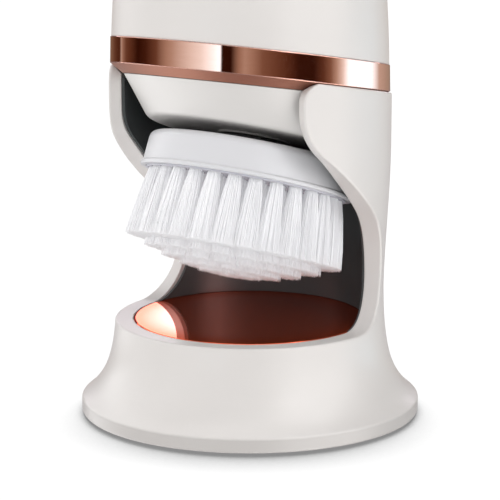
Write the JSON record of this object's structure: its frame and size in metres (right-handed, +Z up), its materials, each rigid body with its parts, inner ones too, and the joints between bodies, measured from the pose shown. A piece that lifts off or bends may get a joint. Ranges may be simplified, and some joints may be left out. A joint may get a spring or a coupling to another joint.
{
  "type": "facial cleansing brush",
  "caption": "Round-headed rotary facial brush standing head down in an open-fronted holder with a mirror disc; the brush lifts out, the head turns and pulls off.",
  "frame": {"origin": "centre of the holder's round foot, on the table", "axes": "+Z up along the handle, -Y towards the holder's open front, X across its mirror plane"},
  "size_m": [0.065, 0.065, 0.1915],
  "materials": {
    "shell_white": "smooth gloss",
    "handle_white": "smooth gloss",
    "neck_white": "smooth gloss",
    "head_white": "smooth gloss",
    "head_plate": "satin",
    "bristle_white": "fine filaments",
    "button_white": "satin",
    "liner_grey": "smooth dark gloss",
    "base_grey": "satin",
    "chassis_grey": "satin",
    "hub_grey": "satin",
    "gear_plastic": "satin",
    "switch_black": "satin",
    "cell_wrap": "shrink sleeve",
    "board_green": "solder mask",
    "lens_clear": "clear",
    "foot_rubber": "matt",
    "seal_rubber": "matt",
    "lead_rubber": "matt",
    "disc_mirror": "polished copper tint",
    "band_rose_gold": "polished rose gold",
    "contact_brass": "gilt",
    "spacer_brass": "turned",
    "bush_brass": "sintered",
    "screw_steel": "zinc plated",
    "weight_steel": "plain",
    "plate_steel": "stamped",
    "shaft_steel": "ground",
    "motor_steel": "nickel plated",
    "magnet_dark": "ferrite",
    "socket_metal": "nickel"
  },
  "bodies": {
    "stand": {"stand_shell": "shell_white", "wall_liner": "liner_grey", "mirror_disc": "disc_mirror", "base_cover": "base_grey", "foot_pad": "foot_rubber", "cover_screws": "screw_steel", "base_weight": "weight_steel", "charge_board": "board_green", "board_screws": "screw_steel", "usb_socket": "socket_metal", "wall_leads": "lead_rubber", "contact_barrels": "contact_brass"},
    "pin_left": {"contact_pin_left": "contact_brass"},
    "pin_right": {"contact_pin_right": "contact_brass"},
    "handle": {"handle_shell": "handle_white", "trim_band": "band_rose_gold", "neck_housing": "neck_white", "neck_seal": "seal_rubber", "contact_pads": "contact_brass", "shaft_seal": "seal_rubber", "lower_plate": "plate_steel", "upper_plate": "plate_steel", "gear_spacers": "spacer_brass", "gear_screws": "screw_steel", "spindle_bushes": "bush_brass", "motor_can": "motor_steel", "motor_end_bell": "gear_plastic", "motor_magnets": "magnet_dark", "motor_screws": "screw_steel", "chassis": "chassis_grey", "chassis_screws": "screw_steel", "battery": "cell_wrap", "battery_tabs": "socket_metal", "control_board": "board_green", "tact_switches": "switch_black", "status_led": "switch_black", "status_lens": "lens_clear"},
    "power_key": {"power_button": "button_white"},
    "mode_key": {"mode_button": "button_white"},
    "rotor": {"motor_shaft": "shaft_steel", "motor_rotor": "motor_steel", "pinion": "spacer_brass"},
    "spindle_set": {"spindle": "shaft_steel", "spindle_gear": "gear_plastic", "spindle_clip": "screw_steel", "drive_hub": "hub_grey"},
    "brush_head": {"head_shell": "head_white", "bristle_plate": "head_plate", "bristles_outer": "bristle_white", "bristles_inner": "bristle_white"}
  },
  "joints": [
    {"name": "brush_lift", "type": "slide", "parent": "stand", "child": "handle", "axis": [0, 0, 1], "range_m": [0, 0.06]},
    {"name": "pin_left_press", "type": "slide", "parent": "stand", "child": "pin_left", "axis": [0, 1, 0], "range_m": [0, 0.0005], "stiffness_N_per_m": 150},
    {"name": "pin_right_press", "type": "slide", "parent": "stand", "child": "pin_right", "axis": [0, 1, 0], "range_m": [0, 0.0005], "stiffness_N_per_m": 150},
    {"name": "power_press", "type": "slide", "parent": "handle", "child": "power_key", "axis": [0, 1, 0], "range_m": [0, 0.0004], "stiffness_N_per_m": 2000},
    {"name": "mode_press", "type": "slide", "parent": "handle", "child": "mode_key", "axis": [0, 1, 0], "range_m": [0, 0.0004], "stiffness_N_per_m": 2000},
    {"name": "head_spin", "type": "hinge", "parent": "handle", "child": "spindle_set", "pos_m": [0, -0.0013, 0.0444], "axis": [0, 0.314, 0.9494], "continuous": true},
    {"name": "motor_spin", "type": "hinge", "parent": "handle", "child": "rotor", "pos_m": [0, -0.01269, 0.04817], "axis": [0, 0.314, 0.9494], "continuous": true},
    {"name": "head_release", "type": "slide", "parent": "spindle_set", "child": "brush_head", "axis": [0, -0.314, -0.9494], "range_m": [0, 0.0065]}
  ],
  "couplings": [
    {"joint": "motor_spin", "follows": "head_spin", "ratio": -2}
  ]
}
